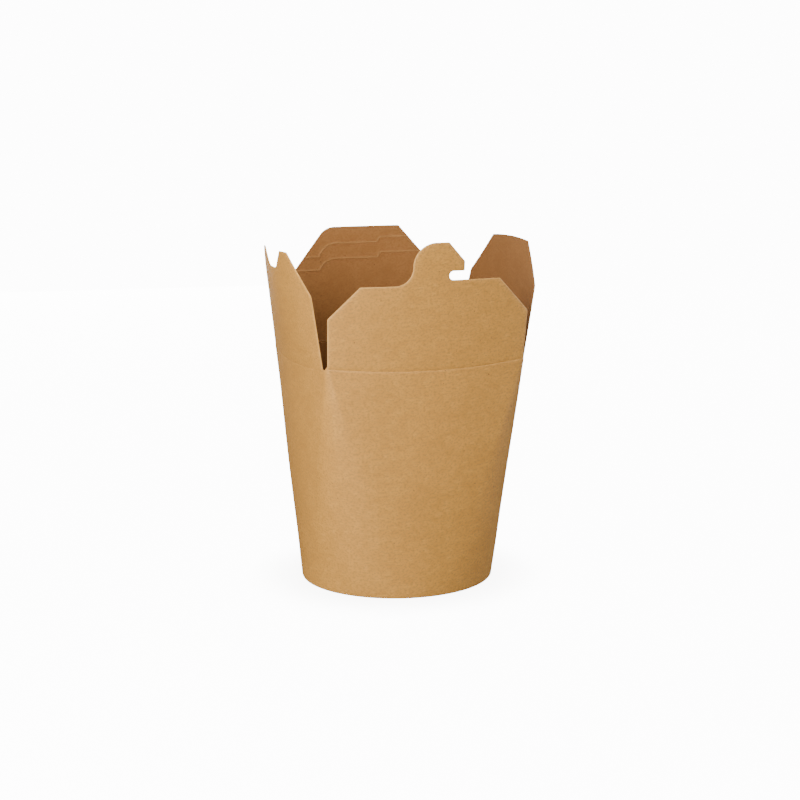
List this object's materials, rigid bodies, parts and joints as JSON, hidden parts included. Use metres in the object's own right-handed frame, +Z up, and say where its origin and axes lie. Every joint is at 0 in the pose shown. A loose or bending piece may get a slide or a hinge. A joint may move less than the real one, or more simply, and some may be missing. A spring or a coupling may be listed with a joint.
{
  "type": "card food box",
  "caption": "Open take-away food box of brown kraft card, with a round raised base, a square mouth and flaps that fold inwards to close, one with a hook tab.",
  "frame": {"origin": "centre of the round foot, on the surface that the box stands on", "axes": "+Z up, -Y out of the front panel with the hook tab, +X to its right"},
  "size_m": [0.113, 0.1102, 0.1576],
  "materials": {
    "kraft_card": "uncoated brown kraft board"
  },
  "bodies": {
    "box": {"wall": "kraft_card", "base_disc": "kraft_card"},
    "front_flap": {"front_flap": "kraft_card"},
    "back_flap": {"back_flap": "kraft_card"},
    "left_flap": {"left_flap": "kraft_card"},
    "right_flap": {"right_flap": "kraft_card"}
  },
  "joints": [
    {"name": "front_fold", "type": "hinge", "parent": "box", "child": "front_flap", "pos_m": [0, -0.04485, 0.105], "axis": [-1, 0, 0], "range_deg": [0, 83]},
    {"name": "back_fold", "type": "hinge", "parent": "box", "child": "back_flap", "pos_m": [0, 0.04485, 0.105], "axis": [1, 0, 0], "range_deg": [0, 87]},
    {"name": "left_fold", "type": "hinge", "parent": "box", "child": "left_flap", "pos_m": [-0.04485, 0, 0.1041], "axis": [0, 1, 0], "range_deg": [0, 100]},
    {"name": "right_fold", "type": "hinge", "parent": "box", "child": "right_flap", "pos_m": [0.04485, 0, 0.1041], "axis": [0, -1, 0], "range_deg": [0, 106]}
  ]
}
